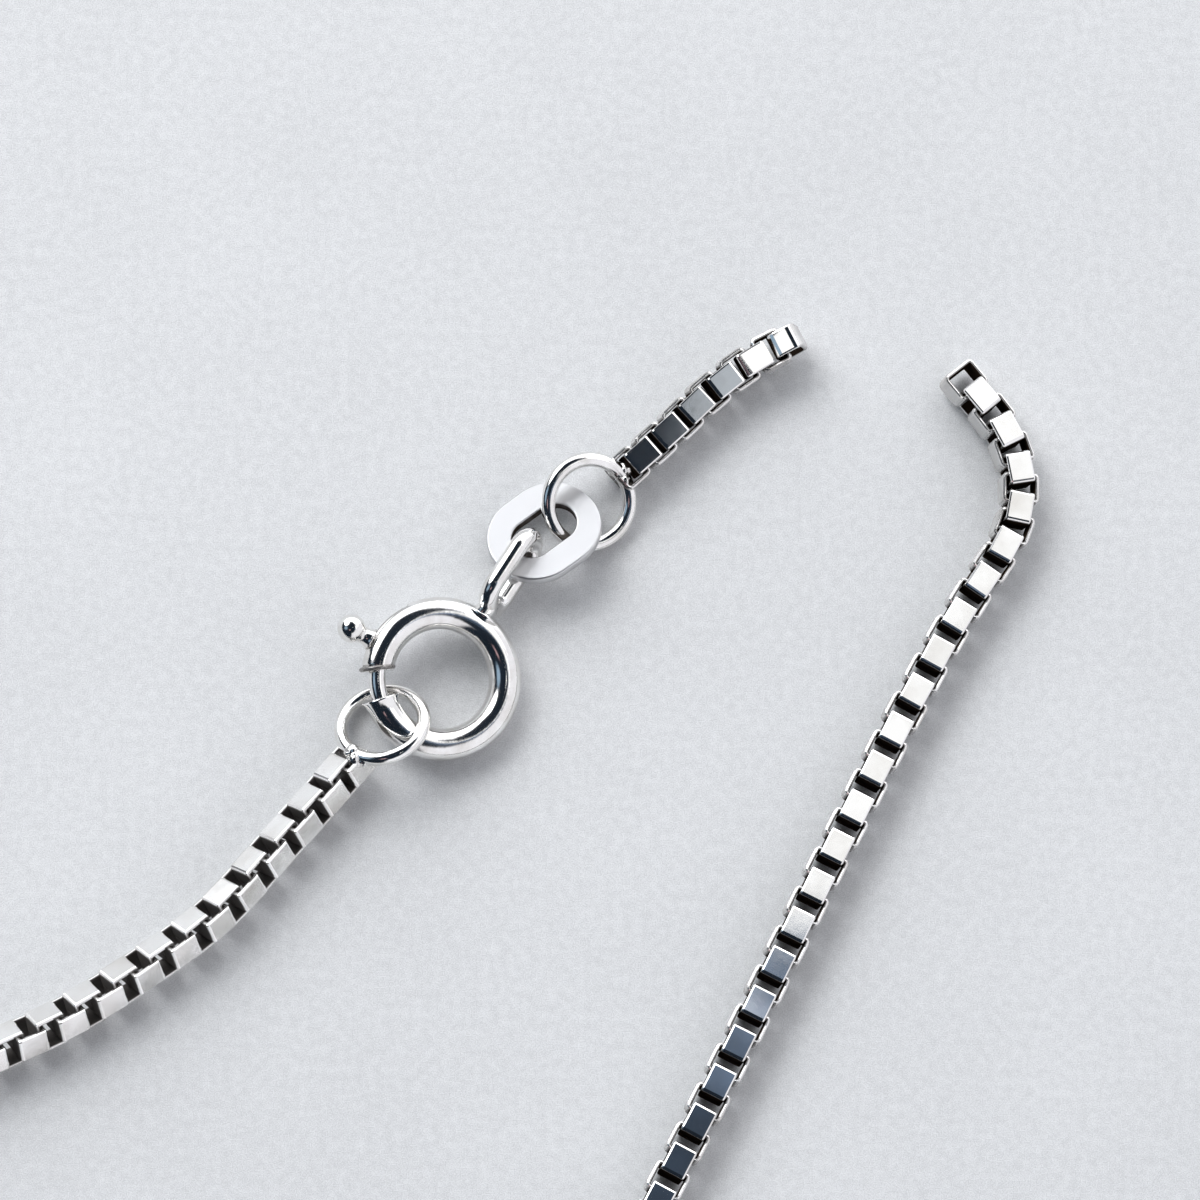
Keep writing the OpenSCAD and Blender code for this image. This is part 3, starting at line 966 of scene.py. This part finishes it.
def camera():
    lean, towards = math.radians(CAMERA_LEAN), math.radians(CAMERA_TO)
    back = Vector((math.sin(lean) * math.cos(towards), math.sin(lean) * math.sin(towards), math.cos(lean)))
    target = Vector((PHOTO_AT[0] - MIDDLE[0], PHOTO_AT[1] - MIDDLE[1], PHOTO_AT[2])) * MM
    up = (Y - Y.dot(back) * back).normalized()
    data = bpy.data.cameras.new("camera")
    data.sensor_width = 36
    data.lens = data.sensor_width * CAMERA_AWAY / SEEN_WIDTH
    data.clip_start = 0.01
    obj = bpy.data.objects.new("camera", data)
    spot = target + back * CAMERA_AWAY * MM
    turn = Matrix((up.cross(back), up, back)).transposed().to_4x4()
    obj.matrix_world = Matrix.Translation(spot) @ turn
    bpy.context.scene.collection.objects.link(obj)
    bpy.context.scene.camera = obj


def edge(finish, across, low, high):
    """0 below low and 1 above high, with a smooth change between."""
    inputs = {"Value": across, "From Min": low, "From Max": high}
    return finish.node("ShaderNodeMapRange", {"interpolation_type": "SMOOTHSTEP"}, inputs)


def aimed(azimuth, height):
    """The direction to a place in the room, which lamps and patches of light are placed by."""
    a, h = math.radians(azimuth), math.radians(height)
    return Vector((math.cos(h) * math.cos(a), math.cos(h) * math.sin(a), math.sin(h)))


# The room's light by direction. Pale walls stand all round but for a dim side, and overhead it is dim.
DIM = (0.012, 0.018, 0.028, 1)
DIM_SIDE_TO = 204
DIM_SIDE_HALF = 0.44
OVERHEAD_AT = (-0.3, -0.1)
OVERHEAD_R = (0.85, 1.15)
RIGHT_WALL = (0.92, 0.92, 0.97, 1)
BACK_WALL = (2.0, 2.03, 2.1, 1)
BACKDROP = (0.70, 0.72, 0.74, 1)
# Round patches: azimuth and height of the middle, the angles from it at which the patch starts to fade and
# ends, and its colour.
PATCHES = [
    (140, 33, 11, 22, (4.5, 4.6, 4.8, 1)),
    (185, 38, 6, 18, (0.3, 0.42, 0.55, 1)),
    (230, 60, 2, 7, (0.6, 0.4, 0.43, 1)),
    (340, 85, 1, 2, (3, 3, 3, 1)),
]


def room():
    """The light of the room, which the silver mirrors."""
    f = Finish(bpy.data.worlds.new("room"))
    towards = f.node("ShaderNodeTexCoord", output="Generated")
    x, y, z = (f.node("ShaderNodeSeparateXYZ", None, {0: towards}, axis) for axis in range(3))
    up = z.math("MAXIMUM", z, 0.02)
    u = (x / up - OVERHEAD_AT[0]) / OVERHEAD_R[0]
    v = (y / up - OVERHEAD_AT[1]) / OVERHEAD_R[1]
    overhead = 1 - edge(f, u * u + v * v, 0.8, 1.2)
    side = aimed(DIM_SIDE_TO, 0)
    level = (x * x + y * y) ** 0.5
    dim_side = edge(f, side.x * x + side.y * y - DIM_SIDE_HALF * level, -0.08, 0.08)
    walls = f.blend(edge(f, y - 0.4 * x, 0.0, 0.6), RIGHT_WALL, BACK_WALL)
    light = f.blend(overhead.math("MAXIMUM", overhead, dim_side), walls, DIM)
    for azimuth, height, inner, outer, color in PATCHES:
        to = aimed(azimuth, height)
        facing = to.x * x + to.y * y + to.z * z
        patch = edge(f, facing, math.cos(math.radians(outer)), math.cos(math.radians(inner)))
        light = f.blend(patch, light, color)
    seen = f.node("ShaderNodeLightPath", output="Is Camera Ray")
    back = f.node("ShaderNodeBackground", None, {"Color": f.blend(seen, light, BACKDROP), "Strength": 1.0})
    f.node("ShaderNodeOutputWorld", None, {"Surface": back})
    bpy.context.scene.world = f.owner


def softbox(name, place, size, radiance, facing, mirrored, color=(1, 1, 1), turn=0):
    """A rectangular light, its place measured from the photo's centre. The silver mirrors it, or else it is
    a soft lamp for the paper."""
    data = bpy.data.lights.new(name, "AREA")
    data.shape = "RECTANGLE"
    data.size, data.size_y = size[0] * MM, size[1] * MM
    data.energy = radiance * math.pi * data.size * data.size_y
    data.color = color
    obj = bpy.data.objects.new(name, data)
    spot = Vector((place[0] - MIDDLE[0], place[1] - MIDDLE[1], place[2])) * MM
    aim = facing.to_track_quat("Z", "Y").to_matrix().to_4x4() @ turned("Z", turn)
    obj.matrix_world = Matrix.Translation(spot) @ aim
    obj.visible_camera = False
    obj.visible_glossy = mirrored
    obj.visible_diffuse = not mirrored
    bpy.context.scene.collection.objects.link(obj)


def distant_lamp(name, towards, spread, strength):
    """A far, soft lamp that lights the paper evenly and isn't mirrored."""
    data = bpy.data.lights.new(name, "SUN")
    data.angle = math.radians(spread)
    data.energy = strength
    obj = bpy.data.objects.new(name, data)
    obj.matrix_world = towards.to_track_quat("Z", "Y").to_matrix().to_4x4()
    obj.visible_glossy = False
    bpy.context.scene.collection.objects.link(obj)


def card(name, at, size, radiance, color=(1, 1, 1), height=CARD_HEIGHT, turn=0):
    """A bright card over the chain, face down, for its plates to mirror."""
    softbox(name, (*at, height), size, radiance, Z, True, color, turn)


def lights():
    card("low_card", (14.75, 0.25), (10.5, 11.5), 1.05)
    card("high_card", (25.75, 17.5), (16.5, 25), 1.05)
    card("grey_card", (14.7, 9.2), (3.6, 6), 0.5, GREY_TINT)
    card("blue_card", (11, -8.5), (9, 6), 0.22, BLUE_TINT)
    card("navy_card", (8, -16), (12, 9), 0.055, BLUE_TINT)
    card("pale_card", (10, -8.4), (1.4, 1.7), 0.75, PALE_TINT, 39.5, 62)
    card("tip_card", (5.92, 9.24), (1.5, 1.5), 1.2, height=3, turn=37)
    key = aimed(135, 50)
    softbox("key", key * 300, (180, 180), 1.3, key, False)
    softbox("fill", (-110, 180, 180), (150, 150), 2.3, Z, False)
    distant_lamp("far_fill", aimed(121, 40), 35, 0.65)


camera()
room()
lights()
bpy.context.scene.view_settings.view_transform = "Standard"
floor(paper_finish())
silver = silver_finish()
chain = chain_finish()
short_chain(chain)
long_chain(chain)
long_chain_back(chain)
tag_end_ring(silver)
clasp_end_ring(silver)
tag(tag_finish())
clasp_body(silver)
clasp_bolt(bolt_finish())
